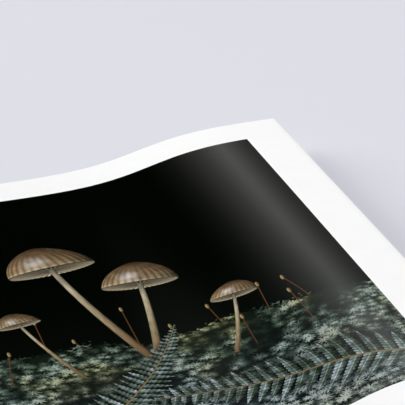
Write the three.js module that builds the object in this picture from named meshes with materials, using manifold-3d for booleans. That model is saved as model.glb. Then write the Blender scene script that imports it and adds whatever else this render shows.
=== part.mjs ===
// An unframed photographic print: one sheet of heavy coated paper with a landscape picture inside a
// white border. It lies on a flat surface. Its right end rises in a soft S-shaped wave, steeper and
// nearer the edge at the near side, and its left end keeps a slight curl from being rolled.
//
// Frame: millimetres, +X along the picture's width, +Y towards the picture's top, +Z up. The origin
// is on the supporting surface, under the centre of the sheet's outline.

import * as THREE from "three";
import { mergeVertices } from "three/addons/utils/BufferGeometryUtils.js";
import Module from "manifold-3d";

const wasm = await Module();
wasm.setup();

// Driving dimensions.
const INCH = 25.4;
const SHEET_WIDTH = 20 * INCH;
const SHEET_HEIGHT = 14 * INCH;
const BORDER = 1 * INCH;
const PAPER_THICKNESS = 0.5;
const COAT_THICKNESS = 0.1; // the printed coat, which lies flush in the paper's face

// The wave at the right end, at the sheet's near and far edges: the angle of its steepest line, how
// far that line lies from the right edge, and the length over which the bend fades out.
const WAVE = {
  near: { angle: 0.36, inset: 74, reach: 30 },
  far: { angle: 0.26, inset: 87, reach: 38 },
};
const FLAT_LIMIT = 0.999; // past this share of the bend's fade the sheet lies dead flat

// The curl at the left end: how far it runs in, and how high the edge stands.
const CURL_REACH = 95;
const CURL_LIFT = { near: 2.5, far: 6 };

// Facets: three to the inch across the bends, one to the inch along them.
const FACETS_ACROSS_PER_INCH = 3;
const FACETS_ALONG_PER_INCH = 1;

// Places a point of the flat sheet on the bent one. along is measured from the left edge and up from
// the near edge of the flat sheet, and height above the sheet's underside.
function bend(along, up, height) {
  const share = up / SHEET_HEIGHT;
  const angle = THREE.MathUtils.lerp(WAVE.near.angle, WAVE.far.angle, share);
  const inset = THREE.MathUtils.lerp(WAVE.near.inset, WAVE.far.inset, share);
  const reach = THREE.MathUtils.lerp(WAVE.near.reach, WAVE.far.reach, share);
  const lift = THREE.MathUtils.lerp(CURL_LIFT.near, CURL_LIFT.far, share);

  // The wave's slope follows sech squared, so its height follows tanh.
  const fade = Math.tanh((along - (SHEET_WIDTH - inset)) / reach);
  const flat = fade < -FLAT_LIMIT;
  const t = flat ? -1 : fade;
  const rise = angle * reach * (1 + t);
  const drawnIn = ((angle * angle * reach) / 2) * (t - (t * t * t) / 3 + 2 / 3);

  // The curl's height follows a parabola from where it leaves the surface.
  const curl = Math.max(0, 1 - along / CURL_REACH);
  const curlSlope = (-2 * lift * curl) / CURL_REACH;

  const slope = angle * (1 - t * t) + curlSlope;
  return new THREE.Vector3(
    along - drawnIn - height * Math.sin(slope),
    up,
    rise + lift * curl * curl + height * Math.cos(slope),
  );
}

// A slab of the bent sheet, between two heights above its underside and inset from its outline.
function slab(inset, lowest, highest) {
  const width = SHEET_WIDTH - 2 * inset;
  const height = SHEET_HEIGHT - 2 * inset;
  const geometry = new THREE.BoxGeometry(
    width,
    height,
    1,
    Math.round((width / INCH) * FACETS_ACROSS_PER_INCH),
    Math.round((height / INCH) * FACETS_ALONG_PER_INCH),
    1,
  );
  const position = geometry.getAttribute("position");
  for (let i = 0; i < position.count; i++) {
    const along = position.getX(i) + SHEET_WIDTH / 2;
    const up = position.getY(i) + SHEET_HEIGHT / 2;
    const level = position.getZ(i) < 0 ? lowest : highest;
    const placed = bend(along, up, level);
    position.setXYZ(i, placed.x, placed.y, placed.z);
  }
  return geometry;
}

function toSolid(geometry) {
  geometry.deleteAttribute("normal");
  geometry.deleteAttribute("uv");
  const merged = mergeVertices(geometry);
  return new wasm.Manifold(
    new wasm.Mesh({
      numProp: 3,
      vertProperties: merged.attributes.position.array,
      triVerts: new Uint32Array(merged.index.array),
    }),
  );
}

function toGeometry(solid) {
  const { vertProperties, triVerts } = solid.getMesh();
  const geometry = new THREE.BufferGeometry();
  geometry.setAttribute("position", new THREE.BufferAttribute(vertProperties, 3));
  geometry.setIndex(new THREE.BufferAttribute(triVerts, 1));
  geometry.computeVertexNormals();
  return geometry;
}

// Bare paper with a smooth, faintly warm white face: the border, the back and the cut edges.
function paperSheet(picture) {
  const blank = toSolid(slab(0, 0, PAPER_THICKNESS));
  const paper = new THREE.MeshStandardMaterial({ color: "#f6f6f4", roughness: 0.6, metalness: 0 });
  const mesh = new THREE.Mesh(toGeometry(blank.subtract(picture)), paper);
  mesh.name = "paper_sheet";
  return mesh;
}

// The printed picture: the same paper's coat, carrying ink, with a satin face.
function printedPicture(picture) {
  const ink = new THREE.MeshStandardMaterial({ color: "#0d130c", roughness: 0.35, metalness: 0 });
  const mesh = new THREE.Mesh(toGeometry(picture), ink);
  mesh.name = "printed_picture";
  return mesh;
}

const picture = toSolid(slab(BORDER, PAPER_THICKNESS - COAT_THICKNESS, PAPER_THICKNESS));
const print = new THREE.Group();
print.add(paperSheet(picture), printedPicture(picture));

// The origin goes under the centre of the outline.
const outline = new THREE.Box3().setFromObject(print);
const centre = outline.getCenter(new THREE.Vector3());
print.position.set(-centre.x, -centre.y, -outline.min.z);

export default print;
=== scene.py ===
# %% [markdown]
# # A photographic print that lies in a soft wave
#
# The object is one sheet of heavy coated paper with a wide nature picture inside a white border. It
# lies on a pale floor. Its right end rises by about two centimetres in an S-shaped wave.
#
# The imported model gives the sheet's place and size. This script makes the same sheet again with fine,
# smooth faces, gives it its paper and ink, and lights it. The two new pieces are the paper and the
# printed coat, and nothing on the sheet moves, so both ride on the one body of the model.

import math

import bmesh
import bpy
from mathutils import Matrix, Vector


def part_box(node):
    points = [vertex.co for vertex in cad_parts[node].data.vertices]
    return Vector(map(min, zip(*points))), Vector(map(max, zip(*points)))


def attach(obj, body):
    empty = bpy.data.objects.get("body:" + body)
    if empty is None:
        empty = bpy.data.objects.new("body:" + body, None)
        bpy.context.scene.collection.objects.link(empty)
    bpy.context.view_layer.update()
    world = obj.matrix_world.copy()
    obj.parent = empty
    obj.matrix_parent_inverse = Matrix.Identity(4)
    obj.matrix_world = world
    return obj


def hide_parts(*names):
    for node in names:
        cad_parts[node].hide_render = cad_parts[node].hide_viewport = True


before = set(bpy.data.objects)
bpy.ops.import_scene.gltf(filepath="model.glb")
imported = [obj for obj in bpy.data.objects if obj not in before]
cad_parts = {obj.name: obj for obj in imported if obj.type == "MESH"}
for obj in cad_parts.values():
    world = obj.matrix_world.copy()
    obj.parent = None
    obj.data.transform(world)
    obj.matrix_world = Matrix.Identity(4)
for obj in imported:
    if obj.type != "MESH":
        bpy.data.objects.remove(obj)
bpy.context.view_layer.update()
scene = bpy.context.scene
scene.view_settings.view_transform = "Standard"
print("nodes:", sorted(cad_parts))

# %% [markdown]
# ## The sheet's shape
#
# Paper bends but doesn't stretch, so a sheet that lies in a wave is a developable surface: it curves
# along its width and stays nearly straight along its height. Its flat outline is therefore drawn first,
# and one function then bends it.
#
# The slope of the wave follows sech squared, so its height follows tanh. It fades out smoothly both
# ways, which is what stiff paper does when one end is held up by its own set.

# %% Sizes
INCH = 0.0254
SHEET_WIDTH, SHEET_HEIGHT, BORDER = 20 * INCH, 14 * INCH, INCH
PICTURE_WIDTH, PICTURE_HEIGHT = SHEET_WIDTH - 2 * BORDER, SHEET_HEIGHT - 2 * BORDER
PAPER_THICKNESS, COAT_THICKNESS = 0.0005, 0.0001

# The wave at the near and the far edge: the angle of its steepest line, how far that line lies from the
# right edge, and the length over which the bend fades out. Then how high the left edge curls up, and
# how far in from that edge the curl begins.
WAVE_ANGLE = (0.36, 0.26)
WAVE_INSET = (0.074, 0.087)
WAVE_REACH = (0.030, 0.038)
CURL_LIFT = (0.0025, 0.006)
CURL_REACH = 0.095
FLAT_LIMIT = 0.999  # where tanh comes this close to -1, the sheet lies quite flat

low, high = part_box("paper_sheet")
print("sheet in the frame:", [round(x, 4) for x in (*low, *high)])


# %% The bend
def bend(along, up, height):
    """Places a point of the flat sheet, given from its near left corner, on the bent sheet.

    Where the slope is angle * sech(x) ** 2, its sum gives the rise. The sum of half its square says how
    much closer the sheet's end is drawn in, because paper keeps its length. Thickness goes along the
    slope's normal."""
    share = up / SHEET_HEIGHT
    angle, inset, reach, lift = (
        near + (far - near) * share for near, far in (WAVE_ANGLE, WAVE_INSET, WAVE_REACH, CURL_LIFT)
    )
    fade = math.tanh((along - (SHEET_WIDTH - inset)) / reach)
    fade = -1 if fade < -FLAT_LIMIT else fade
    rise = angle * reach * (1 + fade)
    drawn_in = angle**2 * reach / 2 * (fade - fade**3 / 3 + 2 / 3)
    curl = max(0, 1 - along / CURL_REACH)
    slope = angle * (1 - fade**2) - 2 * lift * curl / CURL_REACH
    return Vector(
        (
            low.x + along - drawn_in - height * math.sin(slope),
            low.y + up,
            low.z + rise + lift * curl**2 + height * math.cos(slope),
        )
    )


lifted = [(bend(SHEET_WIDTH, up, 0).z - low.z) * 1000 for up in (0, SHEET_HEIGHT)]
print("the right end rises by", [round(rise, 1) for rise in lifted], "mm, near and far")

# %% [markdown]
# ## The paper
#
# A print is a flat rectangle that a knife has cut. It could be a plane with a Solidify and a Simple
# Deform modifier, but Simple Deform bends along a circle, and this wave isn't one. So the sheet is
# modelled flat and each corner of its faces is then moved by the function above.
#
# The paper and its printed coat both start as a grid of eighth-inch squares, which is fine enough to
# bend smoothly.

# %% A flat grid
CELL = INCH / 8


def flat_grid(inset, bottom):
    """A flat grid of cells over the sheet's outline, inset from it, at a height above its underside."""
    width, height = SHEET_WIDTH - 2 * inset, SHEET_HEIGHT - 2 * inset
    grid = bmesh.new()
    bmesh.ops.create_grid(
        grid, x_segments=round(width / CELL), y_segments=round(height / CELL), size=0.5
    )
    bmesh.ops.scale(grid, vec=(width, height, 1), verts=grid.verts)
    bmesh.ops.translate(grid, vec=(SHEET_WIDTH / 2, SHEET_HEIGHT / 2, bottom), verts=grid.verts)
    return grid


print("squares of", round(CELL * 1000, 3), "mm")

# %% [markdown]
# Extruding a whole grid upwards gives a layer its thickness, and extruding some of its faces downwards
# sinks a pocket. A Solidify modifier could do the first, but not the second.


# %% Thickness and pocket
def raise_faces(grid, faces, by):
    """Extrudes some faces straight up, or down where by is negative."""
    made = bmesh.ops.extrude_face_region(grid, geom=faces)["geom"]
    moved = [v for v in made if isinstance(v, bmesh.types.BMVert)]
    bmesh.ops.translate(grid, vec=(0, 0, by), verts=moved)
    if not all(edge.is_manifold for edge in grid.edges):  # the operator left the old faces inside
        bmesh.ops.delete(grid, geom=faces, context="FACES")
    bmesh.ops.recalc_face_normals(grid, faces=grid.faces)


print("thickness:", PAPER_THICKNESS * 1000, "mm, of which the coat takes", COAT_THICKNESS * 1000, "mm")

# %% [markdown]
# The picture is drawn on the flat sheet, so each corner's flat place is kept as a UV map before the grid
# is bent. The faces shade smoothly into each other, except over sharp edges, such as the cut ones.

# %% Bend a grid into a piece
SHARP = math.radians(30)


def bent_piece(name, grid):
    """Bends a grid and makes it an object. A UV map keeps each corner's flat place, in metres from the
    picture's lower left corner."""
    flat = grid.loops.layers.uv.new("Flat")
    for face in grid.faces:
        face.smooth = True
        for loop in face.loops:
            loop[flat].uv = (loop.vert.co.x - BORDER, loop.vert.co.y - BORDER)
    for edge in grid.edges:
        edge.smooth = edge.calc_face_angle(0) < SHARP
    for vert in grid.verts:
        vert.co = bend(*vert.co)
    open_edges = sum(not edge.is_manifold for edge in grid.edges)
    mesh = bpy.data.meshes.new(name)
    grid.to_mesh(mesh)
    grid.free()
    piece = bpy.data.objects.new(name, mesh)
    scene.collection.objects.link(piece)
    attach(piece, "root")
    print(name, len(mesh.polygons), "faces,", open_edges, "open edges")
    return piece


print("edges over", round(math.degrees(SHARP)), "degrees stay sharp")

# %% [markdown]
# The squares under the picture are sunk by the coat's thickness, which leaves the shallow pocket that
# the coat fills. A cut edge isn't perfectly sharp, so the sheet's rim gets a tiny bevel.

# %% Make the paper
CUT_EDGE = 0.00006


def inside(point, inset):
    """Whether a point of the flat sheet lies further in from its edges than an inset."""
    return inset < point.x < SHEET_WIDTH - inset and inset < point.y < SHEET_HEIGHT - inset


grid = flat_grid(0, 0)
raise_faces(grid, grid.faces[:], PAPER_THICKNESS)
tops = [face for face in grid.faces if face.normal.z > 0.5]
pocket = [face for face in tops if inside(face.calc_center_median(), BORDER)]
raise_faces(grid, pocket, -COAT_THICKNESS)
sharp = [edge for edge in grid.edges if edge.calc_face_angle(0) > SHARP]
rim = [edge for edge in sharp if not all(inside(vert.co, BORDER / 2) for vert in edge.verts)]
bmesh.ops.bevel(
    grid, geom=rim, offset=CUT_EDGE, affect="EDGES", segments=2, profile=0.5, material=-1
)
paper = bent_piece("print_paper", grid)
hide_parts("paper_sheet")

# %% [markdown]
# ## The printed coat
#
# The picture is a layer of ink and resin, a tenth of a millimetre thick. It is a piece of its own, so
# that it can have its own gloss. It also gets a second UV map, for whoever bakes the picture to an
# image: the top fills nearly all of it, and the hidden underside and walls share a thin strip.

# %% Make the printed coat
CHART_STRIP = 0.02  # the share of the map's height for the faces that don't show
UNDERSIDE = 0.5  # the underside fills the strip's lower half, and the walls lie above it
WALL_FOOT, WALL_RISE = 0.6, 0.3

grid = flat_grid(BORDER, PAPER_THICKNESS - COAT_THICKNESS)
raise_faces(grid, grid.faces[:], COAT_THICKNESS)
chart = grid.loops.layers.uv.new("OFBake")
for face in grid.faces:
    for loop in face.loops:
        across = (loop.vert.co.x - BORDER) / PICTURE_WIDTH
        up = (loop.vert.co.y - BORDER) / PICTURE_HEIGHT
        raised = (loop.vert.co.z - PAPER_THICKNESS) / COAT_THICKNESS + 1
        if face.normal.z > 0.5:
            loop[chart].uv = (across, CHART_STRIP + (1 - CHART_STRIP) * up)
        elif face.normal.z < -0.5:
            loop[chart].uv = (across, CHART_STRIP * UNDERSIDE * up)
        else:
            loop[chart].uv = ((across + up) / 2, CHART_STRIP * (WALL_FOOT + WALL_RISE * raised))
coat = bent_piece("print_picture", grid)
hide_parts("printed_picture")

# %% [markdown]
# ## Materials
#
# Every surface gets a node material. Colours are written as sRGB hex codes, as a paint program gives
# them, and a function turns them to the linear values that the renderer works with. Another function
# adds a node together with its settings and links, so that a material reads as a list of steps, from
# coordinates through patterns to the shader.


# %% Helpers for materials
def srgb(code):
    """The linear colour of an sRGB hex code such as "#f6f6f4"."""
    parts = [int(code[i : i + 2], 16) / 255 for i in (1, 3, 5)]
    return [*(c / 12.92 if c <= 0.04045 else ((c + 0.055) / 1.055) ** 2.4 for c in parts), 1]


def new_material(name):
    """An empty node material, and its tree."""
    material = bpy.data.materials.new(name)
    material.use_nodes = True
    material.node_tree.nodes.clear()
    return material, material.node_tree


def add(tree, kind, inputs=None, stops=(), **settings):
    """Adds a node. inputs maps an input's name or number to a node or socket to link, or to a value.
    stops are the (place, hex code) pairs of a colour ramp, from left to right."""
    node = tree.nodes.new("ShaderNode" + kind)
    for name, value in settings.items():
        setattr(node, name, value)
    for name, value in (inputs or {}).items():
        if isinstance(value, bpy.types.Node):
            value = value.outputs[0]
        if isinstance(value, bpy.types.NodeSocket):
            tree.links.new(value, node.inputs[name])
        else:
            node.inputs[name].default_value = value
    if stops:
        elements = node.color_ramp.elements
        elements.remove(elements[1])
        elements[0].position, elements[0].color = stops[0][0], srgb(stops[0][1])
        for place, code in stops[1:]:
            elements.new(place).color = srgb(code)
    return node


print("mid grey #808080 is", round(srgb("#808080")[0], 3), "linear")

# %% [markdown]
# ## The white border
#
# Heavy photo paper is wood pulp with a chalk and clay coat, pressed nearly flat. Its white is almost
# neutral. What is left of the fibres shows as a faint tooth and as clouds that are hardly darker. Both
# are noise on Object coordinates, since paper has no direction that a pattern would have to follow.

# %% Coated white paper
TOOTH = 0.0008  # a real tooth is about 0.2 mm and is drawn coarser, so that it shows at all
TOOTH_DEPTH = 0.00004
CLOUDS = 0.012

material, tree = new_material("coated_pulp_paper")  # a matt, even white that keeps its shading soft
local = add(tree, "TexCoord").outputs["Object"]
clouds = add(tree, "TexNoise", {"Vector": local, "Scale": 1 / CLOUDS, "Detail": 3.0})
white = add(tree, "ValToRGB", {0: clouds}, stops=[(0.3, "#f8f8f8"), (0.7, "#fafafa")])
tooth = add(tree, "TexNoise", {"Vector": local, "Scale": 1 / TOOTH, "Detail": 2.0})
rough = add(tree, "MapRange", {0: tooth, 3: 0.52, 4: 0.66})
bump = add(tree, "Bump", {"Strength": 0.25, "Distance": TOOTH_DEPTH, "Height": tooth})
shader = add(
    tree, "BsdfPrincipled", {"Base Color": white, "Roughness": rough, "IOR": 1.5, "Normal": bump}
)
add(tree, "OutputMaterial", {"Surface": shader})
paper.data.materials.append(material)
print(material.name, "tooth drawn at", TOOTH * 1000, "mm, clouds at", CLOUDS * 1000, "mm")

# %% [markdown]
# ## The picture
#
# The picture is a nature close-up: brown toadstools and fern on a mossy bank, lit by a flash in front of
# a black background. It is drawn with nodes, in millimetres from the picture's lower left corner, so it
# stays sharp at any distance. It could be one long tree, but the plants come in two kinds that repeat.
# So each kind is one node group, which takes a place and the plant's own sizes, and gives a colour, an
# alpha and how much it shades what is behind it.


# %% A group for a kind of plant
def new_group(name, inputs):
    """A group with a vector input and number inputs, and the outputs Color, Alpha and Shade."""
    group = bpy.data.node_groups.new(name, "ShaderNodeTree")
    group.interface.new_socket("Vector", in_out="INPUT", socket_type="NodeSocketVector")
    for label in inputs:
        group.interface.new_socket(label, in_out="INPUT", socket_type="NodeSocketFloat")
    group.interface.new_socket("Color", in_out="OUTPUT", socket_type="NodeSocketColor")
    for label in ("Alpha", "Shade"):
        group.interface.new_socket(label, in_out="OUTPUT", socket_type="NodeSocketFloat")
    return group, group.nodes.new("NodeGroupInput").outputs, group.nodes.new("NodeGroupOutput")


TOADSTOOL_SIZES = ("Bell", "Stem", "Bend", "Seed")
FROND_SIZES = ("Length", "Reach", "Radius", "Seed")
print("a toadstool is given by", TOADSTOOL_SIZES, "and a frond by", FROND_SIZES)

# %% [markdown]
# ### A toadstool
#
# A toadstool is drawn in units of half its cap's width, with its origin in the middle of the cap's rim.
# It is seen from a little below: a bell above, an ellipse of gills in the rim, and the stem in front.
# The rim's near side is the upper half of the ellipse. The bell begins there, a little unevenly.

# %% A toadstool: the rim of its cap
RIM = 0.2  # how far the rim's ellipse opens
RAGGED = 0.05  # how unevenly the rim hangs
MOTTLES = 3.5  # light and dark patches in half a cap's width

toadstool, given, toadstool_result = new_group("toadstool", TOADSTOOL_SIZES)
tree = toadstool
split = add(tree, "SeparateXYZ", {0: given["Vector"]})
x, y = split.outputs[0], split.outputs[1]
place = add(tree, "CombineXYZ", {0: x, 1: y, 2: given["Seed"]})
mottle = add(tree, "TexNoise", {"Vector": place, "Scale": MOTTLES, "Detail": 6.0, "Roughness": 0.62})

outward = add(tree, "Math", {0: x, 1: x}, operation="MULTIPLY")
inward = add(tree, "Math", {0: 1.0, 1: outward}, operation="SUBTRACT", use_clamp=True)
rim_arc = add(tree, "Math", {0: inward}, operation="SQRT")
wavy = add(tree, "Math", {0: mottle, 1: RAGGED, 2: -RAGGED / 2}, operation="MULTIPLY_ADD")
near_rim = add(tree, "Math", {0: rim_arc, 1: RIM, 2: wavy}, operation="MULTIPLY_ADD")
above_rim = add(tree, "Math", {0: y, 1: near_rim}, operation="SUBTRACT")
bell_room = add(tree, "Math", {0: given["Bell"], 1: near_rim}, operation="SUBTRACT")
lift = add(tree, "Math", {0: above_rim, 1: bell_room}, operation="DIVIDE", use_clamp=True)
print("the rim opens to", RIM, "of the cap's half width")

# %% [markdown]
# The bell's outline narrows as one minus a power of the height, which is round on top and steep at the
# rim. Dividing x by that half width gives how far across the bell a point is, from -1 to 1.

# %% A toadstool: the bell of its cap
NARROWING, SHOULDER = 1.8, 0.62  # the powers that round the bell

rise = add(tree, "Math", {0: y, 1: given["Bell"]}, operation="DIVIDE", use_clamp=True)
narrowing = add(tree, "Math", {0: rise, 1: NARROWING}, operation="POWER")
remaining = add(tree, "Math", {0: 1.0, 1: narrowing}, operation="SUBTRACT")
half_width = add(tree, "Math", {0: remaining, 1: SHOULDER}, operation="POWER")
half_width = add(tree, "Math", {0: half_width, 1: 0.001}, operation="MAXIMUM")
across = add(tree, "Math", {0: x, 1: half_width}, operation="DIVIDE")
side_room = add(tree, "Math", {0: across}, operation="ABSOLUTE")
side_room = add(tree, "Math", {0: 1.0, 1: side_room}, operation="SUBTRACT")
cap_sides = add(tree, "MapRange", {0: side_room, 1: 0.0, 2: 0.03}, interpolation_type="SMOOTHSTEP")
cap_foot = add(tree, "MapRange", {0: above_rim, 1: 0.0, 2: 0.02}, interpolation_type="SMOOTHSTEP")
cap_top = add(tree, "Math", {0: rise, 1: 0.999}, operation="LESS_THAN")
cap_alpha = add(tree, "Math", {0: cap_sides, 1: cap_foot}, operation="MULTIPLY")
cap_alpha = add(tree, "Math", {0: cap_alpha, 1: cap_top}, operation="MULTIPLY")
print("the bell's half width halfway up:", round((1 - 0.5**NARROWING) ** SHOULDER, 2))

# %% [markdown]
# A flat drawing looks round when it is lit as if it were round. How far across and how high a point is
# on the bell give the normal of a dome there, and its product with the flash's direction gives the
# light.

# %% A toadstool: light on the bell
FLASH = (-0.45, 0.62, 0.64)  # towards the flash
GLINT = (-0.25, 0.34, 0.91)  # the way the wet cap faces where it mirrors the flash
GLINT_POWER = 26.0
DOME_TURN, UPRIGHT = 1.5, 1.3  # radians from rim to top, and the power that delays them at the rim

sideways = add(tree, "Math", {0: across, 1: 0.999}, operation="MINIMUM")
sideways = add(tree, "Math", {0: sideways, 1: -0.999}, operation="MAXIMUM")
turned = add(tree, "Math", {0: sideways}, operation="ARCSINE")
forwards = add(tree, "Math", {0: turned}, operation="COSINE")
climb = add(tree, "Math", {0: lift, 1: UPRIGHT}, operation="POWER")
tipped = add(tree, "Math", {0: climb, 1: DOME_TURN}, operation="MULTIPLY")
level = add(tree, "Math", {0: tipped}, operation="COSINE")
upwards = add(tree, "Math", {0: tipped}, operation="SINE")
level_normal = add(tree, "CombineXYZ", {0: sideways, 2: forwards})
level_normal = add(tree, "VectorMath", {0: level_normal, "Scale": level}, operation="SCALE")
upper_normal = add(tree, "CombineXYZ", {1: upwards})
normal = add(tree, "VectorMath", {0: level_normal, 1: upper_normal}, operation="ADD")
lit = add(tree, "VectorMath", {0: normal, 1: FLASH}, operation="DOT_PRODUCT").outputs["Value"]
lit = add(tree, "MapRange", {0: lit, 1: -0.2, 2: 1.0, 3: 0.08, 4: 1.15})
glint = add(tree, "VectorMath", {0: normal, 1: GLINT}, operation="DOT_PRODUCT").outputs["Value"]
glint = add(tree, "Math", {0: glint, 1: GLINT_POWER}, operation="POWER")
glint = add(tree, "Math", {0: glint, 1: mottle}, operation="MULTIPLY")
print("the dome turns by", round(math.degrees(DOME_TURN)), "degrees from its rim to its top")

# %% [markdown]
# The streaks follow the dome too: they are even steps of the angle round it, so that they crowd
# together at the sides, and they fade towards the top. The mottling breaks them up.

# %% A toadstool: streaks and colours of the bell
STREAKS = 30  # on a whole turn

streak = add(tree, "Math", {0: turned, 1: STREAKS, 2: given["Seed"]}, operation="MULTIPLY_ADD")
streak = add(tree, "Math", {0: streak}, operation="COSINE")
streak = add(tree, "MapRange", {0: streak, 1: -1.0, 2: 0.6, 3: 0.45, 4: 1.0})
fading = add(tree, "MapRange", {0: lift, 1: 0.1, 2: 0.8, 3: 0.0, 4: 1.0})
streak = add(tree, "Math", {0: streak, 1: fading}, operation="MAXIMUM")
patchy = add(tree, "MapRange", {0: mottle, 1: 0.3, 2: 0.7, 3: 0.6, 4: 1.3})
brightness = add(tree, "Math", {0: lit, 1: streak}, operation="MULTIPLY")
brightness = add(tree, "Math", {0: brightness, 1: patchy}, operation="MULTIPLY")
cap_tone = add(
    tree,
    "ValToRGB",
    {0: lift},
    stops=[(0, "#d2c2a0"), (0.12, "#a68c68"), (0.45, "#80694c"), (0.8, "#574531"), (1, "#3d2f20")],
)
cap = add(tree, "VectorMath", {0: cap_tone, "Scale": brightness}, operation="SCALE")
shine = add(tree, "VectorMath", {0: srgb("#dfe4ea")[:3], "Scale": glint}, operation="SCALE")
cap = add(tree, "VectorMath", {0: shine, 1: (0.7, 0.7, 0.7), 2: cap}, operation="MULTIPLY_ADD")
print("streaks on the side that shows:", STREAKS // 2)

# %% [markdown]
# The gills run from the stem to the rim like spokes. The rim's ellipse is stretched back to a circle,
# and the bearing in it, times their number, makes the spokes. The gills behind the near rim, high in
# the ellipse, face away from the flash and lie deepest in the shade.

# %% A toadstool: gills
GILLS = 46

deep = add(tree, "Math", {0: y, 1: RIM}, operation="DIVIDE")
spoke = add(tree, "CombineXYZ", {0: x, 1: deep})
from_hub = add(tree, "VectorMath", {0: spoke}, operation="LENGTH").outputs["Value"]
gill_alpha = add(tree, "MapRange", {0: from_hub, 1: 1.0, 2: 0.95}, interpolation_type="SMOOTHSTEP")
bearing = add(tree, "Math", {0: deep, 1: x}, operation="ARCTAN2")
gill = add(tree, "Math", {0: bearing, 1: GILLS}, operation="MULTIPLY")
gill = add(tree, "Math", {0: gill}, operation="SINE")
gill = add(tree, "MapRange", {0: gill, 1: -1.0, 2: 0.8})
gill_tone = add(tree, "ValToRGB", {0: gill}, stops=[(0, "#483a28"), (0.6, "#a99774"), (1, "#e0d5ba")])
facing_flash = add(tree, "MapRange", {0: deep, 1: 0.9, 2: -0.9, 3: 0.16, 4: 0.95})
outer = add(tree, "MapRange", {0: from_hub, 1: 0.1, 2: 1.0, 3: 0.35, 4: 1.1})
gill_light = add(tree, "Math", {0: facing_flash, 1: outer}, operation="MULTIPLY")
gills = add(tree, "VectorMath", {0: gill_tone, "Scale": gill_light}, operation="SCALE")
print("gills round the stem:", GILLS)

# %% [markdown]
# The stem leans further and grows a little thicker with every step down. It is lit as a cylinder, and a
# noise that is drawn out along it gives its fibres.

# %% A toadstool: stem
STEM_HALF, STEM_SWELL = 0.075, 0.05  # half its width under the cap, and how much that grows
FIBRES = (45.0, 2.5, 1.0)  # in half a cap's width, across the stem and along it, and for its seed

down = add(tree, "Math", {0: y, 1: given["Stem"]}, operation="DIVIDE")
down = add(tree, "Math", {0: down, 1: -1.0}, operation="MULTIPLY")
along = add(tree, "Math", {0: down, 1: 1.0}, operation="MINIMUM")
along = add(tree, "Math", {0: along, 1: 0.0}, operation="MAXIMUM")
sway = add(tree, "Math", {0: along, 1: along}, operation="MULTIPLY")
sway = add(tree, "Math", {0: sway, 1: given["Bend"]}, operation="MULTIPLY")
off_axis = add(tree, "Math", {0: x, 1: sway}, operation="SUBTRACT")
fibre_place = add(tree, "VectorMath", {0: place, 1: FIBRES}, operation="MULTIPLY")
fibre = add(tree, "TexNoise", {"Vector": fibre_place, "Scale": 1.0, "Detail": 3.0})
stem_half = add(tree, "Math", {0: along, 1: STEM_SWELL, 2: STEM_HALF}, operation="MULTIPLY_ADD")
stem_across = add(tree, "Math", {0: off_axis, 1: stem_half}, operation="DIVIDE")
squared = add(tree, "Math", {0: stem_across, 1: stem_across}, operation="MULTIPLY")
facing = add(tree, "Math", {0: 1.0, 1: squared}, operation="SUBTRACT", use_clamp=True)
facing = add(tree, "Math", {0: facing}, operation="SQRT")
stem_sides = add(tree, "MapRange", {0: squared, 1: 1.0, 2: 0.75}, interpolation_type="SMOOTHSTEP")
stem_foot = add(tree, "MapRange", {0: down, 1: 1.0, 2: 0.98})
stem_top = add(tree, "MapRange", {0: y, 1: 0.1, 2: 0.04})
stem_alpha = add(tree, "Math", {0: stem_sides, 1: stem_foot}, operation="MULTIPLY")
stem_alpha = add(tree, "Math", {0: stem_alpha, 1: stem_top}, operation="MULTIPLY")
stem_light = add(tree, "Math", {0: facing, 1: 0.8, 2: 0.05}, operation="MULTIPLY_ADD")
stem_light = add(tree, "Math", {0: stem_across, 1: -0.4, 2: stem_light}, operation="MULTIPLY_ADD")
cap_shadow = add(tree, "MapRange", {0: down, 1: 0.0, 2: 0.16, 3: 0.3, 4: 1.0})
stringy = add(tree, "MapRange", {0: fibre, 1: 0.35, 2: 0.65, 3: 0.6, 4: 1.25})
stem_light = add(tree, "Math", {0: stem_light, 1: cap_shadow}, operation="MULTIPLY")
stem_light = add(tree, "Math", {0: stem_light, 1: stringy}, operation="MULTIPLY", use_clamp=True)
stem_tone = add(
    tree,
    "ValToRGB",
    {0: along},
    stops=[(0, "#ded2b6"), (0.3, "#b5a584"), (0.65, "#83694b"), (1, "#46341f")],
)
stem = add(tree, "VectorMath", {0: stem_tone, "Scale": stem_light}, operation="SCALE")
print("a stem is", round(2 * STEM_HALF, 2), "of the cap's half width thick at its top")

# %% [markdown]
# The stem covers the gills, and the bell covers both. A toadstool casts no shade on the plants behind,
# so its Shade output stays at nought.

# %% A toadstool: its parts together
layers = add(tree, "Mix", {0: stem_alpha, 6: gills, 7: stem}, data_type="RGBA").outputs[2]
layers = add(tree, "Mix", {0: cap_alpha, 6: layers, 7: cap}, data_type="RGBA").outputs[2]
alpha = add(tree, "Math", {0: stem_alpha, 1: gill_alpha}, operation="MAXIMUM")
alpha = add(tree, "Math", {0: alpha, 1: cap_alpha}, operation="MAXIMUM")
tree.links.new(layers, toadstool_result.inputs["Color"])
tree.links.new(alpha.outputs[0], toadstool_result.inputs["Alpha"])
print("toadstool:", len(tree.nodes), "nodes")

# %% [markdown]
# ### A fern frond
#
# A fern frond is one arching rib with a row of leaflets on both sides. Its rib is an arc, and polar
# coordinates about the arc's centre give how far along the rib a point is, and how far off it.

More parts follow.
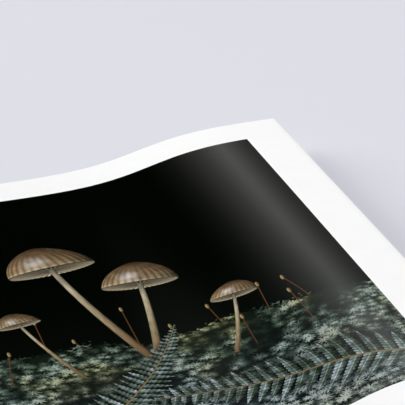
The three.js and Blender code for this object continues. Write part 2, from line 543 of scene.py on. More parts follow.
# %% A fern frond: coordinates along the rib
frond, given, frond_result = new_group("fern_frond", FROND_SIZES)
tree = frond
split = add(tree, "SeparateXYZ", {0: given["Vector"]})
to_centre = add(tree, "Math", {0: given["Radius"], 1: split.outputs[1]}, operation="SUBTRACT")
arm = add(tree, "CombineXYZ", {0: split.outputs[0], 1: to_centre})
arm_length = add(tree, "VectorMath", {0: arm}, operation="LENGTH").outputs["Value"]
swept = add(tree, "Math", {0: split.outputs[0], 1: to_centre}, operation="ARCTAN2")
along = add(tree, "Math", {0: swept, 1: given["Radius"]}, operation="MULTIPLY")
off_rib = add(tree, "Math", {0: given["Radius"], 1: arm_length}, operation="SUBTRACT")
side = add(tree, "Math", {0: off_rib}, operation="SIGN")
away = add(tree, "Math", {0: off_rib}, operation="ABSOLUTE")
print("nodes that straighten a frond:", len(tree.nodes))

# %% [markdown]
# The rows are one leaflet repeated by the fraction of a running number. Its whole part numbers the
# leaflets, and gives each its own length and brightness. The number follows the point where a leaflet
# leaves the rib, which lies further back the further out the leaflet is, as it leans and curls forwards.

# %% A fern frond: counting its leaflets
LEAFLETS = 34.0  # on each side
CROWDING = 0.75  # the power that sets the leaflets closer towards the tip
ALTERNATION = 0.25  # of a leaflet, by which one side is ahead and the other behind
LEAN, CURL = 0.3, 0.006  # how far they lean forwards for each millimetre out, and for its square

curl = add(tree, "Math", {0: away, 1: away}, operation="MULTIPLY")
curl = add(tree, "Math", {0: curl, 1: CURL}, operation="MULTIPLY")
lean = add(tree, "Math", {0: away, 1: LEAN, 2: curl}, operation="MULTIPLY_ADD")
root = add(tree, "Math", {0: along, 1: lean}, operation="SUBTRACT")
root = add(tree, "Math", {0: root, 1: given["Length"]}, operation="DIVIDE")
to_tip = add(tree, "Math", {0: 1.0, 1: root}, operation="SUBTRACT", use_clamp=True)
crowded = add(tree, "Math", {0: to_tip, 1: CROWDING}, operation="POWER")
number = add(tree, "Math", {0: crowded, 1: -LEAFLETS, 2: LEAFLETS}, operation="MULTIPLY_ADD")
number = add(tree, "Math", {0: side, 1: ALTERNATION, 2: number}, operation="MULTIPLY_ADD")
whole = add(tree, "Math", {0: number}, operation="FLOOR")
part = add(tree, "Math", {0: number}, operation="FRACT")
part = add(tree, "Math", {0: part, 1: 0.5}, operation="SUBTRACT")
middle = add(tree, "Math", {0: part}, operation="ABSOLUTE")
which = add(tree, "CombineXYZ", {0: whole, 1: side, 2: given["Seed"]})
chance = add(tree, "TexWhiteNoise", {"Vector": which}, noise_dimensions="3D")
print("leaflets on each side of the rib:", LEAFLETS)

# %% [markdown]
# The leaflets grow longer from the frond's foot and then shorter to its tip. Each narrows to a point,
# and its edge is cut into round lobes by the absolute value of a sine.

# %% A fern frond: leaflets
LOBE = 2.4  # millimetres from one round lobe of a leaflet's edge to the next
NOTCH = 0.58  # how much of its width a leaflet keeps between two lobes
TIP_POWER = 2.4  # how late a leaflet narrows to its point
LEAFLET_HALF = 0.48  # of the distance to the next leaflet

swell = add(tree, "MapRange", {0: root, 1: 0.02, 2: 0.3}, interpolation_type="SMOOTHSTEP")
taper = add(tree, "Math", {0: to_tip, 1: 0.85}, operation="POWER")
reach = add(tree, "Math", {0: swell, 1: taper}, operation="MULTIPLY")
uneven = add(tree, "Math", {0: chance, 1: 0.14, 2: 0.9}, operation="MULTIPLY_ADD")
reach = add(tree, "Math", {0: reach, 1: uneven}, operation="MULTIPLY")
reach = add(tree, "Math", {0: reach, 1: given["Reach"]}, operation="MULTIPLY")
reach = add(tree, "Math", {0: reach, 1: 0.01}, operation="MAXIMUM")
outwards = add(tree, "Math", {0: away, 1: reach}, operation="DIVIDE")
narrowing = add(tree, "Math", {0: outwards, 1: TIP_POWER}, operation="POWER")
body = add(tree, "Math", {0: 1.0, 1: narrowing}, operation="SUBTRACT")
body = add(tree, "Math", {0: body, 1: LEAFLET_HALF}, operation="MULTIPLY")
swept_back = add(tree, "Math", {0: middle, 1: -1.1, 2: away}, operation="MULTIPLY_ADD")
lobe = add(tree, "Math", {0: swept_back, 1: math.pi / LOBE}, operation="MULTIPLY")
lobe = add(tree, "Math", {0: lobe}, operation="SINE")
lobe = add(tree, "Math", {0: lobe}, operation="ABSOLUTE")
notch = add(tree, "Math", {0: lobe, 1: 0.55}, operation="POWER")
notch = add(tree, "MapRange", {0: notch, 3: NOTCH, 4: 1.0})
body = add(tree, "Math", {0: body, 1: notch}, operation="MULTIPLY")
room = add(tree, "Math", {0: body, 1: middle}, operation="SUBTRACT")
blade = add(tree, "MapRange", {0: room, 1: 0.0, 2: 0.04}, interpolation_type="SMOOTHSTEP")
begun = add(tree, "Math", {0: root, 1: 0.0}, operation="GREATER_THAN")
unfinished = add(tree, "Math", {0: to_tip, 1: 0.002}, operation="GREATER_THAN")
started = add(tree, "Math", {0: begun, 1: unfinished}, operation="MULTIPLY")
blade_alpha = add(tree, "Math", {0: blade, 1: started}, operation="MULTIPLY")
print("a leaflet has a lobe every", LOBE, "mm")

# %% [markdown]
# The rib is a line along the arc that thins out towards the tip.

# %% A fern frond: rib
TIP_RIB, RIB_GROWTH = 0.2, 0.75  # half its width at the tip, and what it gains down to the foot

rib_half = add(tree, "Math", {0: to_tip, 1: RIB_GROWTH, 2: TIP_RIB}, operation="MULTIPLY_ADD")
rib = add(tree, "Math", {0: away, 1: rib_half}, operation="DIVIDE")
rib_alpha = add(tree, "MapRange", {0: rib, 1: 1.0, 2: 0.7})
rib_ends = add(tree, "Math", {0: along, 1: given["Length"]}, operation="DIVIDE")
rib_ends = add(tree, "MapRange", {0: rib_ends, 1: 1.0, 2: 0.99})
rib_start = add(tree, "Math", {0: along, 1: 0.0}, operation="GREATER_THAN")
rib_alpha = add(tree, "Math", {0: rib_alpha, 1: rib_ends}, operation="MULTIPLY")
rib_alpha = add(tree, "Math", {0: rib_alpha, 1: rib_start}, operation="MULTIPLY")
print("the rib is", 2 * (TIP_RIB + RIB_GROWTH), "mm wide at its foot")

# %% [markdown]
# A leaflet is lightest on the lobes that bulge towards the flash and on the vein in its middle. The
# frond's shade reaches a little past its leaflets.

# %% A fern frond: colours
rough_place = add(tree, "VectorMath", {0: given["Vector"], 1: which}, operation="ADD")
rough = add(tree, "TexNoise", {"Vector": rough_place, "Scale": 0.22, "Detail": 4.0})
fold = add(tree, "Math", {0: part, 1: 0.5, 2: 0.2}, operation="MULTIPLY_ADD")
bulge = add(tree, "Math", {0: lobe, 1: 0.16, 2: fold}, operation="MULTIPLY_ADD")
own = add(tree, "Math", {0: chance, 1: 0.2, 2: bulge}, operation="MULTIPLY_ADD")
cloudy = add(tree, "MapRange", {0: rough, 1: 0.3, 2: 0.7, 3: -0.14, 4: 0.3})
tone = add(tree, "Math", {0: own, 1: cloudy}, operation="ADD")
vein = add(tree, "MapRange", {0: middle, 1: 0.06, 2: 0.02, 3: 0.0, 4: 0.25})
tone = add(tree, "Math", {0: tone, 1: vein}, operation="ADD", use_clamp=True)
blade_tone = add(
    tree,
    "ValToRGB",
    {0: tone},
    stops=[(0, "#0b100b"), (0.25, "#20291f"), (0.5, "#3d4a3f"), (0.72, "#687776"), (1, "#b6c0c8")],
)
rib_light = add(tree, "MapRange", {0: rib, 1: 0.0, 2: 1.0, 3: 1.0, 4: 0.35})
rib_tone = add(tree, "VectorMath", {0: srgb("#857050")[:3], "Scale": rib_light}, operation="SCALE")
layers = add(tree, "Mix", {0: rib_alpha, 6: blade_tone, 7: rib_tone}, data_type="RGBA").outputs[2]
alpha = add(tree, "Math", {0: blade_alpha, 1: rib_alpha}, operation="MAXIMUM")
shaded = add(tree, "MapRange", {0: outwards, 1: 1.25, 2: 0.2}, interpolation_type="SMOOTHSTEP")
shaded = add(tree, "Math", {0: shaded, 1: started}, operation="MULTIPLY")
tree.links.new(shaded.outputs[0], frond_result.inputs["Shade"])
tree.links.new(layers, frond_result.inputs["Color"])
tree.links.new(alpha.outputs[0], frond_result.inputs["Alpha"])
print("fern frond:", len(tree.nodes), "nodes")

# %% [markdown]
# ### The printed material
#
# Print is ink on paper. Its picture is drawn on the flat sheet's UV map, so that it bends with the
# sheet, as ink does. The map is in metres, and the picture's own unit is the millimetre.

# %% A place in the picture
material, tree = new_material("satin_printed_ink")  # deep blacks and fine detail under a soft gloss
flat = add(tree, "UVMap", uv_map="Flat")
spot = add(tree, "VectorMath", {0: flat, "Scale": 1000.0}, operation="SCALE")
spot_height = add(tree, "SeparateXYZ", {0: spot}).outputs[1]
print("the picture is", round(PICTURE_WIDTH * 1000, 1), "by", round(PICTURE_HEIGHT * 1000, 1), "mm")

# %% [markdown]
# ### The mossy bank
#
# The moss on the bank is rosettes of fine leaves. A Voronoi pattern gives each place its nearest rosette
# and that rosette's centre, and the bearing from the centre makes the leaves. Three sizes are laid
# together, the lightest winning, so that no cell borders show.

# %% Moss
MOSS_ROSETTES = ((10.5, 9.0), (7.5, 8.0), (5.5, 7.0))  # millimetres across, and leaves
ASLANT = (1.0, 1.35, 0.0)  # the bank is seen at a slant, which flattens its rosettes

seen_aslant = add(tree, "VectorMath", {0: spot, 1: ASLANT}, operation="MULTIPLY")
moss = 0.0
for size, leaves in MOSS_ROSETTES:
    shifted = add(tree, "VectorMath", {0: seen_aslant, 1: (size * 3, size * 7, 0)}, operation="ADD")
    cell = add(tree, "TexVoronoi", {"Vector": shifted, "Scale": 1 / size}, voronoi_dimensions="2D")
    arm = add(tree, "VectorMath", {0: shifted, 1: cell.outputs["Position"]}, operation="SUBTRACT")
    arm_parts = add(tree, "SeparateXYZ", {0: arm})
    bearing = add(
        tree, "Math", {0: arm_parts.outputs[1], 1: arm_parts.outputs[0]}, operation="ARCTAN2"
    )
    own = add(tree, "SeparateColor", {0: cell.outputs["Color"]})
    turn = add(tree, "Math", {0: own.outputs[0], 1: math.tau}, operation="MULTIPLY")
    bearing = add(tree, "Math", {0: bearing, 1: leaves / 2, 2: turn}, operation="MULTIPLY_ADD")
    leaf = add(tree, "Math", {0: bearing}, operation="COSINE")
    leaf = add(tree, "Math", {0: leaf}, operation="ABSOLUTE")
    out = add(tree, "Math", {0: cell.outputs["Distance"], 1: 1.5}, operation="MULTIPLY", use_clamp=True)
    slim = add(tree, "Math", {0: leaf, 1: out}, operation="SUBTRACT")
    slim = add(tree, "MapRange", {0: slim, 1: -0.05, 2: 0.5})
    inner = add(tree, "MapRange", {0: out, 3: 1.0, 4: 0.15})
    glow = add(tree, "Math", {0: slim, 1: inner}, operation="MULTIPLY")
    glow_own = add(tree, "Math", {0: own.outputs[1], 1: 0.7, 2: 0.4}, operation="MULTIPLY_ADD")
    glow = add(tree, "Math", {0: glow, 1: glow_own}, operation="MULTIPLY")
    moss = add(tree, "Math", {0: moss, 1: glow}, operation="MAXIMUM")
print("moss:", len(MOSS_ROSETTES), "sizes of rosette")

# %% [markdown]
# The bank's lumps come from one broad noise, taken at two nearby spots. Where it rises away from the
# flash, its slope faces the flash and the moss is lit. Where it falls, the moss is in the shade. A fine
# noise adds grit, and a trace of the broad one keeps the gaps between the rosettes from going black.

# %% The bank's light
LUMP = 55.0  # millimetres
LUMP_SHIFT = (500.0, 210.0)  # the stretch of noise that lights the bank's crest and both its ends
FLASH_STEP = 4.0  # millimetres right and down, away from the flash, from one spot to the other
IN_SHADE, IN_LIGHT = 0.12, 1.45
IN_GAPS = 0.12

lump = []
for step in (0.0, FLASH_STEP):
    shift = (LUMP_SHIFT[0] + step, LUMP_SHIFT[1] - step, 0)
    moved = add(tree, "VectorMath", {0: spot, 1: shift}, operation="ADD")
    lump.append(
        add(tree, "TexNoise", {"Vector": moved, "Scale": 1 / LUMP, "Detail": 3.0}, noise_dimensions="2D")
    )
relief = add(tree, "Math", {0: lump[1], 1: lump[0]}, operation="SUBTRACT")
relief = add(tree, "MapRange", {0: relief, 1: -0.06, 2: 0.06, 3: IN_SHADE, 4: IN_LIGHT})
grit = add(tree, "TexNoise", {"Vector": spot, "Scale": 0.8, "Detail": 3.0}, noise_dimensions="2D")
grit = add(tree, "MapRange", {0: grit, 1: 0.3, 2: 0.7, 3: 0.7, 4: 1.25})
moss_light = add(tree, "Math", {0: moss, 1: relief}, operation="MULTIPLY")
moss_light = add(tree, "Math", {0: moss_light, 1: grit}, operation="MULTIPLY")
moss_floor = add(tree, "Math", {0: lump[0], 1: IN_GAPS}, operation="MULTIPLY")
moss_light = add(tree, "Math", {0: moss_light, 1: moss_floor}, operation="ADD")
print("bank: lumps of", LUMP, "mm")

# %% [markdown]
# The moss has three colour ramps. Olive patches break up the green, and towards the bottom a grey is
# mixed in, because the moss nearest to the flash is wet and mirrors its cold white. A noise as fine as
# the shoots lifts and lowers the bank's crest.

# %% The bank's colours and shoots
MOSS_GREEN = ((0, "#060907"), (0.11, "#151e17"), (0.34, "#354338"), (0.65, "#657667"), (1, "#a8b5aa"))
MOSS_OLIVE = ((0, "#090a06"), (0.11, "#1b1f12"), (0.34, "#3e4531"), (0.65, "#727a58"), (1, "#b2b796"))
MOSS_GREY = ((0, "#07090d"), (0.11, "#191f27"), (0.34, "#3e4854"), (0.65, "#717d8c"), (1, "#b5bfcc"))
WET_MOSS = (110.0, 30.0, 0.45)  # the heights where the grey begins and is full, and its share
SHOOTS = 14.0  # millimetres from the lowest to the highest shoot on a crest

patches = add(tree, "MapRange", {0: lump[1], 1: 0.48, 2: 0.62}, interpolation_type="SMOOTHSTEP")
start, full, most = WET_MOSS
wetness = add(
    tree, "MapRange", {0: spot_height, 1: start, 2: full, 4: most}, interpolation_type="SMOOTHSTEP"
)
shoots = add(tree, "TexNoise", {"Vector": spot, "Scale": 0.42, "Detail": 2.0}, noise_dimensions="2D")
shoots = add(tree, "Math", {0: shoots, 1: SHOOTS, 2: -SHOOTS / 2}, operation="MULTIPLY_ADD")
print("shoots stand up to", SHOOTS / 2, "mm over the crest")

# %% [markdown]
# ## The layers of the picture
#
# The plants stand in loose groups low in the picture, so that most of its upper half stays black. Each
# is one row of numbers for its kind's node group, listed one by one. A bank or
# a row of spore stalks takes only three or four numbers.

# %% Where the plants grow, in millimetres
BACK_FRONDS = (  # place, turn in degrees, length, reach, radius, seed
    ((20, 60), 58, 230, 38, 420, 3.0),
    ((150, 75), 118, 190, 32, 300, 5.0),
)
TOADSTOOLS = (  # cap's place, tilt in degrees, half width, bell, stem, bend, seed
    ((118, 176), 7, 22, 1.35, 5.6, 0.6, 11.0),
    ((84, 142), -9, 15, 1.2, 6.2, -0.7, 12.0),
    ((206, 150), 5, 13, 1.25, 7.2, 0.5, 13.0),
    ((352, 172), -6, 21, 1.3, 5.6, -0.45, 14.0),
    ((312, 205), 8, 25, 1.25, 6.2, 0.6, 15.0),
    ((281, 148), 11, 12, 1.2, 7.5, 0.9, 16.0),
    ((392, 132), -12, 13, 1.15, 6.2, -0.8, 17.0),
)
FRONT_FRONDS = (
    ((478, 12), 152, 190, 34, 330, 7.0),
    ((262, 8), 34, 150, 28, 260, 8.0),
)
FAR_BANK = (112.0, 60.0, 1.0)  # crest, swing of the crest, lightness
NEAR_BANK = (86.0, 70.0, 1.0)
FAR_STALKS = (23.0, 66.0, 88.0, 5.0)  # pitch, height, foot, seed
NEAR_STALKS = (31.0, 52.0, 78.0, 40.0)
BACK_LIGHT, FRONT_LIGHT = 0.35, 1.2  # the flash on the fronds behind, and on those in front
print(len(TOADSTOOLS), "toadstools and", len(BACK_FRONDS) + len(FRONT_FRONDS), "fronds")

# %% [markdown]
# Each kind of layer has a function, which takes the colour below it and gives the colour with the layer
# laid over it. A frond first darkens what is behind it with its soft shadow, which lifts it off the
# ground. A Mapping node turns millimetres of the picture into the plant's own units.


# %% Lay a plant
SHADOW_DEPTH = 0.75


def after(below):
    """The spot, moved with the colour below by a few millionths of a millimetre. That can't be seen, but
    makes the renderer finish one layer before the next, so that they all fit in its memory."""
    return add(tree, "VectorMath", {0: below, 1: (1e-6, 1e-6, 0), 2: spot}, operation="MULTIPLY_ADD")


def plant(below, kind, place, tilt, unit, flash, sizes):
    """Lays a plant over what is below, after its soft shadow. unit says how many millimetres the
    plant's own unit is, and flash how much of the flash reaches it."""
    local = add(
        tree,
        "Mapping",
        {
            "Vector": after(below),
            "Location": (*place, 0),
            "Rotation": (0, 0, math.radians(tilt)),
            "Scale": (unit, unit, 1),
        },
        vector_type="TEXTURE",
    )
    drawn = add(tree, "Group", {"Vector": local, **sizes}, node_tree=kind)
    shadow = add(tree, "Math", {0: drawn.outputs["Shade"], 1: SHADOW_DEPTH}, operation="MULTIPLY")
    below = add(tree, "Mix", {0: shadow, 6: below, 7: srgb("#000000")}, data_type="RGBA").outputs[2]
    colour = add(
        tree, "VectorMath", {0: drawn.outputs["Color"], "Scale": flash}, operation="SCALE"
    )
    cover = drawn.outputs["Alpha"]
    return add(tree, "Mix", {0: cover, 6: below, 7: colour}, data_type="RGBA").outputs[2]


print("a frond's shadow takes", SHADOW_DEPTH, "of the light")

# %% [markdown]
# A bank is everything below a wavy line. Fine noise on that line makes single shoots stand out against
# the black, and the moss grows lighter down the bank, where it comes closer to the flash.

# %% Lay a bank of moss
CREST_WAVE = 130.0  # millimetres
FALL = 100.0  # millimetres down the bank to where its moss is lightest


def bank(below, crest, swing, lightness):
    """Lays a bank of moss over what is below. Its crest swings slowly about a height."""
    wave = add(tree, "TexNoise", {"Vector": after(below), "Scale": 1 / CREST_WAVE}, noise_dimensions="2D")
    top = add(tree, "Math", {0: wave, 1: swing, 2: crest - swing / 2}, operation="MULTIPLY_ADD")
    top = add(tree, "Math", {0: top, 1: shoots}, operation="ADD")
    depth = add(tree, "Math", {0: top, 1: spot_height}, operation="SUBTRACT")
    cover = add(tree, "MapRange", {0: depth, 1: 0.0, 2: 0.7}, interpolation_type="SMOOTHSTEP")
    fall = add(tree, "MapRange", {0: depth, 1: 0.0, 2: FALL, 3: lightness * 0.85, 4: lightness * 1.2})
    value = add(tree, "Math", {0: moss_light, 1: fall}, operation="MULTIPLY", use_clamp=True)
    green = add(tree, "ValToRGB", {0: value}, stops=MOSS_GREEN)
    olive = add(tree, "ValToRGB", {0: value}, stops=MOSS_OLIVE)
    colour = add(tree, "Mix", {0: patches, 6: green, 7: olive}, data_type="RGBA").outputs[2]
    grey = add(tree, "ValToRGB", {0: value}, stops=MOSS_GREY)
    colour = add(tree, "Mix", {0: wetness, 6: colour, 7: grey}, data_type="RGBA").outputs[2]
    return add(tree, "Mix", {0: cover, 6: below, 7: colour}, data_type="RGBA").outputs[2]


print("a bank's crest swings every", CREST_WAVE, "mm or so")

# %% [markdown]
# Moss sends up thin red stalks, and each carries a spore capsule. A row of them is one stalk repeated by
# the fraction of a running number. The whole number seeds its height and its lean, and whether it grew.

# %% Lay a row of spore stalks
BARE = 0.5  # the share of places where no stalk grew
BOW = 1.6  # the power by which a stalk bends towards its tip
STALK_EDGE = (0.4, 0.15)  # millimetres from its middle to where it is gone, and to where it is full
CAPSULE_EDGE = (1.05, 0.75)
CAPSULE_ROUND = 0.36  # its width over its length


def stalk_row(below, pitch, height, foot, seed):
    """Lays a row of moss's thin red stalks, each with a spore capsule, over what is below."""
    place = add(tree, "SeparateXYZ", {0: after(below)})
    number = add(tree, "Math", {0: place.outputs[0], 1: pitch}, operation="DIVIDE")
    whole = add(tree, "Math", {0: number}, operation="FLOOR")
    whole = add(tree, "Math", {0: whole, 1: seed}, operation="ADD")
    chance = add(tree, "TexWhiteNoise", {"W": whole}, noise_dimensions="1D")
    chance = add(tree, "SeparateColor", {0: chance.outputs["Color"]})
    part = add(tree, "Math", {0: number}, operation="FRACT")
    x = add(tree, "Math", {0: part, 1: pitch, 2: -pitch / 2}, operation="MULTIPLY_ADD")
    y = add(tree, "Math", {0: place.outputs[1], 1: foot}, operation="SUBTRACT")
    tall = add(
        tree, "Math", {0: chance.outputs[0], 1: height / 2, 2: height / 2}, operation="MULTIPLY_ADD"
    )
    climb = add(tree, "Math", {0: y, 1: tall}, operation="DIVIDE")
    tip = add(tree, "MapRange", {0: chance.outputs[1], 3: -pitch / 3, 4: pitch / 3})
    bow = add(tree, "Math", {0: climb, 1: BOW}, operation="POWER")
    bow = add(tree, "Math", {0: bow, 1: tip}, operation="MULTIPLY")
    aside = add(tree, "Math", {0: x, 1: bow}, operation="SUBTRACT")
    aside = add(tree, "Math", {0: aside}, operation="ABSOLUTE")
    thread = add(tree, "MapRange", {0: aside, 1: STALK_EDGE[0], 2: STALK_EDGE[1]})
    under_tip = add(tree, "Math", {0: climb, 1: 1.0}, operation="LESS_THAN")
    thread = add(tree, "Math", {0: thread, 1: under_tip}, operation="MULTIPLY")
    from_tip_x = add(tree, "Math", {0: x, 1: tip}, operation="SUBTRACT")
    from_tip_y = add(tree, "Math", {0: y, 1: tall}, operation="SUBTRACT")
    from_tip_y = add(tree, "Math", {0: from_tip_y, 1: CAPSULE_ROUND}, operation="MULTIPLY")
    capsule = add(tree, "CombineXYZ", {0: from_tip_x, 1: from_tip_y})
    capsule = add(tree, "VectorMath", {0: capsule}, operation="LENGTH").outputs["Value"]
    capsule = add(tree, "MapRange", {0: capsule, 1: CAPSULE_EDGE[0], 2: CAPSULE_EDGE[1]})
    grown = add(tree, "Math", {0: chance.outputs[2], 1: BARE}, operation="GREATER_THAN")
    cover = add(tree, "Math", {0: thread, 1: capsule}, operation="MAXIMUM")
    cover = add(tree, "Math", {0: cover, 1: grown}, operation="MULTIPLY")
    lit = add(tree, "MapRange", {0: from_tip_x, 1: -1.0, 2: 1.0, 3: 1.0, 4: 0.0})
    lit = add(tree, "Math", {0: lit, 1: capsule}, operation="MULTIPLY")
    colour = add(tree, "ValToRGB", {0: lit}, stops=[(0, "#5a3a28"), (0.4, "#7b663f"), (1, "#bfb083")])
    return add(tree, "Mix", {0: cover, 6: below, 7: colour}, data_type="RGBA").outputs[2]


print("rows of stalks:", FAR_STALKS[0], "and", NEAR_STALKS[0], "mm apart")

# %% [markdown]
# Everything is now laid down in order: fern behind, the far bank, toadstools, the near bank that hides
# their feet, and two fronds right in front. The black behind them has a trace of haze above the bank.

# %% Lay the picture down
HAZE_TOP, HAZE_FOOT = 190.0, 60.0

haze = add(
    tree, "MapRange", {0: spot_height, 1: HAZE_TOP, 2: HAZE_FOOT}, interpolation_type="SMOOTHSTEP"
)
picture = add(tree, "ValToRGB", {0: haze}, stops=[(0, "#010300"), (1, "#070c08")]).outputs[0]
for place, turn, *shape in BACK_FRONDS:
    picture = plant(picture, frond, place, turn, 1.0, BACK_LIGHT, dict(zip(FROND_SIZES, shape)))
picture = stalk_row(picture, *FAR_STALKS)
picture = bank(picture, *FAR_BANK)
picture = stalk_row(picture, *NEAR_STALKS)
for place, tilt, half, *shape in TOADSTOOLS:
    picture = plant(picture, toadstool, place, tilt, half, 1.0, dict(zip(TOADSTOOL_SIZES, shape)))
picture = bank(picture, *NEAR_BANK)
for place, turn, *shape in FRONT_FRONDS:
    picture = plant(picture, frond, place, turn, 1.0, FRONT_LIGHT, dict(zip(FROND_SIZES, shape)))
print("picture:", len(tree.nodes), "nodes besides the groups")

# %% [markdown]
# ## The printed coat's gloss
#
# The print's surface is ink that was jetted onto the paper and dried under a satin resin. The ink gives
# deep blacks. The resin reflects softly, which lays a grey gleam over the black where the sheet tips
# towards a lamp. It drapes over the paper's tooth, so the gloss has a very fine, uneven grain. One
# Principled shader does both, because resin and ink have about the same IOR, with no air between them.

# %% Printed coat
GRAIN = 0.0011  # about the paper's tooth, drawn coarser than the real 0.2 mm so that it shows
GRAIN_DEPTH = 0.00001
SMOOTHEST, ROUGHEST = 0.11, 0.13  # a satin resin, which lies nearer to gloss than to matt

local = add(tree, "TexCoord").outputs["Object"]
grain = add(tree, "TexNoise", {"Vector": local, "Scale": 1 / GRAIN, "Detail": 1.0})
rough = add(tree, "MapRange", {0: grain, 1: 0.3, 2: 0.7, 3: SMOOTHEST, 4: ROUGHEST})
bump = add(tree, "Bump", {"Strength": 0.2, "Distance": GRAIN_DEPTH, "Height": grain})
shader = add(
    tree, "BsdfPrincipled", {"Base Color": picture, "Roughness": rough, "IOR": 1.5, "Normal": bump}
)
add(tree, "OutputMaterial", {"Surface": shader})
coat.data.materials.append(material)
print(material.name, "grain drawn at", GRAIN * 1000, "mm")

# %% [markdown]
# ## The floor
#
# A plain pale floor, which curves up at its rim into a low round wall, far off. It isn't part of the
# object. It could be a plane, but a plane's far edge would show in low views, and a sweep hides it. The
# wall stays low, because the satin coat would mirror a tall one and lose its black.

# %% Make the floor
FLOOR_RADIUS, SWEEP_RADIUS, WALL_HEIGHT = 5.0, 0.4, 0.8
FLOOR_SIDES, SWEEP_STEPS = 128, 12

profile = []  # the radius and the height of each ring, from the floor's rim to the wall's top
for step in range(1, SWEEP_STEPS + 1):
    angle = math.pi / 2 * step / SWEEP_STEPS
    out, up = SWEEP_RADIUS * math.sin(angle), SWEEP_RADIUS * (1 - math.cos(angle))
    profile.append((FLOOR_RADIUS + out, up))
profile.append((FLOOR_RADIUS + SWEEP_RADIUS, WALL_HEIGHT))

studio = bmesh.new()
bmesh.ops.create_circle(studio, cap_ends=True, segments=FLOOR_SIDES, radius=FLOOR_RADIUS)
rim = studio.edges[:]
last_radius, last_height = FLOOR_RADIUS, 0
for radius, height in profile:
    made = bmesh.ops.extrude_edge_only(studio, edges=rim)["geom"]
    rim = [e for e in made if isinstance(e, bmesh.types.BMEdge)]
    ring = [v for v in made if isinstance(v, bmesh.types.BMVert)]
    wider = radius / last_radius
    bmesh.ops.scale(studio, vec=(wider, wider, 1), verts=ring)
    bmesh.ops.translate(studio, vec=(0, 0, height - last_height), verts=ring)
    last_radius, last_height = radius, height
for face in studio.faces:
    face.smooth = True
bmesh.ops.recalc_face_normals(studio, faces=studio.faces)
mesh = bpy.data.meshes.new("floor")
studio.to_mesh(mesh)
studio.free()
floor = bpy.data.objects.new("floor", mesh)
scene.collection.objects.link(floor)
print("floor:", len(mesh.polygons), "faces")

# %% [markdown]
# The floor's paint is matt and even, so that only the sheet's own shadow draws on it. The lamps stand
# inside the studio and leave its far side dark. Past a circle round the sheet, a glow of the paint's own
# colour therefore takes over, for the camera and for what a gloss mirrors. It lights nothing.

# %% Matt floor paint
FLOOR_COLOUR = srgb("#dadbe3")
GLOW_START, GLOW_END = 0.7, 2.0

material, tree = new_material("matt_painted_floor")  # cool, pale and without a gleam
paint = add(
    tree, "BsdfPrincipled", {"Base Color": FLOOR_COLOUR, "Roughness": 0.9, "Specular IOR Level": 0.1}
)
glow = add(tree, "Emission", {"Color": FLOOR_COLOUR, "Strength": 1.0})
path = add(tree, "LightPath").outputs
seen = add(tree, "Math", {0: path["Is Camera Ray"], 1: path["Is Glossy Ray"]}, operation="MAXIMUM")
local = add(tree, "TexCoord").outputs["Object"]
distance = add(tree, "VectorMath", {0: local}, operation="LENGTH").outputs["Value"]
far = add(
    tree, "MapRange", {0: distance, 1: GLOW_START, 2: GLOW_END}, interpolation_type="SMOOTHSTEP"
)
share = add(tree, "Math", {0: seen, 1: far}, operation="MULTIPLY")
shader = add(tree, "MixShader", {0: share, 1: paint, 2: glow})
add(tree, "OutputMaterial", {"Surface": shader})
material.cycles.emission_sampling = "NONE"
floor.data.materials.append(material)
print(material.name, "glows from", GLOW_START, "to", GLOW_END, "m out")

# %% [markdown]
# ## The camera
#
# A long lens looks down at the raised far right corner, and the sheet runs out of the view on the left
# and at the front. The camera is placed by its angles and its distance from a point near that corner,
# which says more than three coordinates would.

# %% Place the camera
CAMERA_AZIMUTH, CAMERA_ELEVATION, CAMERA_ROLL = (math.radians(a) for a in (-16.89, 23.95, -0.81))
CAMERA_DISTANCE = 1.2499
AIM_OFFSET = Vector((-0.06669, -0.06304, 0))  # from where the far right corner would lie if flat
LENS, SENSOR_WIDTH = 192.63, 36  # millimetres

flat_corner = Vector((low.x + SHEET_WIDTH, high.y, low.z))
aim = flat_corner + AIM_OFFSET
back = Vector(
    (
        math.sin(CAMERA_AZIMUTH) * math.cos(CAMERA_ELEVATION),
        -math.cos(CAMERA_AZIMUTH) * math.cos(CAMERA_ELEVATION),
        math.sin(CAMERA_ELEVATION),
    )
)
level = Vector((math.cos(CAMERA_AZIMUTH), math.sin(CAMERA_AZIMUTH), 0))
turn = Matrix((level, back.cross(level), back)).transposed().to_4x4()
camera_data = bpy.data.cameras.new("camera")
camera_data.lens = LENS
camera_data.sensor_width = SENSOR_WIDTH
camera = bpy.data.objects.new("camera", camera_data)
camera.matrix_world = (
    Matrix.Translation(aim + back * CAMERA_DISTANCE) @ turn @ Matrix.Rotation(CAMERA_ROLL, 4, "Z")
)
scene.collection.objects.link(camera)
scene.camera = camera
print("camera at", [round(x, 3) for x in camera.location])

# %% [markdown]
# ## The light
#
# Three big softboxes give the sheet its even white: one low on the left, whose light also draws the
# shadow past the raised end, one overhead and a weaker one in front. A satin print turns grey where
# it mirrors a lamp, so these three are kept out of reflections, as crossed polarisers do in a studio.
#
# The gloss comes from lamps of its own, which give no other light: two faint sheens, nearly in the
# directions of the low softbox and the front one, and a narrow strip close above the wave.

# %% Softboxes
SOFTBOXES = (  # name, place, side, watts
    ("key", (-2.2, 1.3, 1.3), 1.6, 59),
    ("overhead", (0.8, 0.3, 2.4), 2.2, 54),
    ("front_fill", (1.4, -2.0, 1.6), 1.6, 15),
)
SHEENS = (
    ("left_sheen", (-2.0, 1.2, 1.2), 1.6, 4),
    ("right_sheen", (1.3, -1.9, 1.5), 1.6, 4),
)


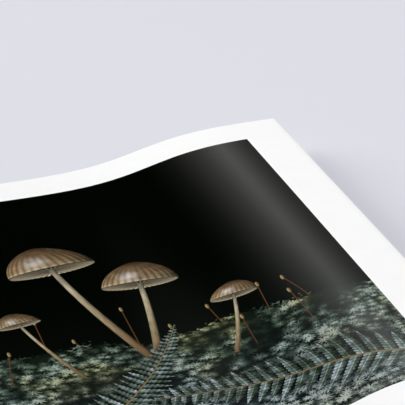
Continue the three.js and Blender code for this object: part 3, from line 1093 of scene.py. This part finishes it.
def softbox(name, place, target, width, height, watts, turn=0):
    """A rectangular area lamp that faces a point, turned by an angle about that line."""
    data = bpy.data.lights.new(name, "AREA")
    data.shape = "RECTANGLE"
    data.size, data.size_y = width, height
    data.energy = watts
    lamp = bpy.data.objects.new(name, data)
    direction = Vector(place) - Vector(target)
    aimed = direction.to_track_quat("Z", "Y").to_matrix().to_4x4() @ Matrix.Rotation(turn, 4, "Z")
    lamp.matrix_world = Matrix.Translation(place) @ aimed
    lamp.visible_camera = False
    scene.collection.objects.link(lamp)
    return lamp


centre = (0, 0, 0)
for name, place, side, watts in SOFTBOXES:
    softbox(name, place, centre, side, side, watts).visible_glossy = False
for name, place, side, watts in SHEENS:
    softbox(name, place, centre, side, side, watts).visible_diffuse = False
print("softboxes of", [watts for *_, watts in SOFTBOXES], "W, sheens of", SHEENS[0][-1], "W")

# %% [markdown]
# A bent satin sheet mirrors a lamp as a band. An even lamp would give a flat band with two quick edges.
# This one swells slowly over the rise and fades sooner towards the sheet's end, so the strip's
# brightness is graded across its width by a ramp. It also grows a little towards the strip's near end.

# %% The gloss strip
STRIP_WIDTH, STRIP_LENGTH, STRIP_HEIGHT = 0.15, 0.58, 0.12
STRIP_OFFSET = Vector((-0.021, -0.035, STRIP_HEIGHT))  # from the same flat corner
STRIP_TURN = math.radians(-1.5)
STRIP_POWER = 0.189  # watts, which is little, because the strip hangs so close
STRIP_TINT = (0.98, 1.0, 0.93)  # a trace of green
FAR_END, NEAR_END = 0.9, 1.14  # the brightness at its two ends, times the grade
STRIP_GRADE = (  # from the strip's right side to its left
    (0, "#000000"),
    (0.2, "#a4a4a4"),
    (0.36, "#ffffff"),
    (0.53, "#bbbbbb"),
    (0.69, "#878787"),
    (0.84, "#4e4e4e"),
    (1, "#000000"),
)
strip_place = flat_corner + STRIP_OFFSET
strip_foot = strip_place - Vector((0, 0, STRIP_HEIGHT))
strip = softbox(
    "gloss_strip", strip_place, strip_foot, STRIP_WIDTH, STRIP_LENGTH, STRIP_POWER, STRIP_TURN
)
strip.visible_diffuse = False
strip.data.color = STRIP_TINT
strip.data.use_nodes = True
tree = strip.data.node_tree
split = add(tree, "SeparateXYZ", {0: add(tree, "NewGeometry").outputs["Parametric"]})
grade = add(tree, "ValToRGB", {0: split.outputs[0]}, stops=STRIP_GRADE)
fade = add(tree, "MapRange", {0: split.outputs[1], 3: FAR_END, 4: NEAR_END})
strength = add(tree, "Math", {0: grade, 1: fade}, operation="MULTIPLY")
tree.links.new(strength.outputs[0], tree.nodes["Emission"].inputs["Strength"])
print("gloss strip:", STRIP_WIDTH, "by", STRIP_LENGTH, "m,", STRIP_HEIGHT, "m up")

# %% [markdown]
# The room beyond the lamps is nearly black, so that the blacks of the print stay deep.

# %% World
ROOM_LIGHT = 0.002

world = bpy.data.worlds.new("dim_studio")
world.use_nodes = True
backdrop = world.node_tree.nodes["Background"].inputs
backdrop["Color"].default_value = srgb("#ffffff")
backdrop["Strength"].default_value = ROOM_LIGHT
scene.world = world
print("world:", world.name, "at", ROOM_LIGHT)
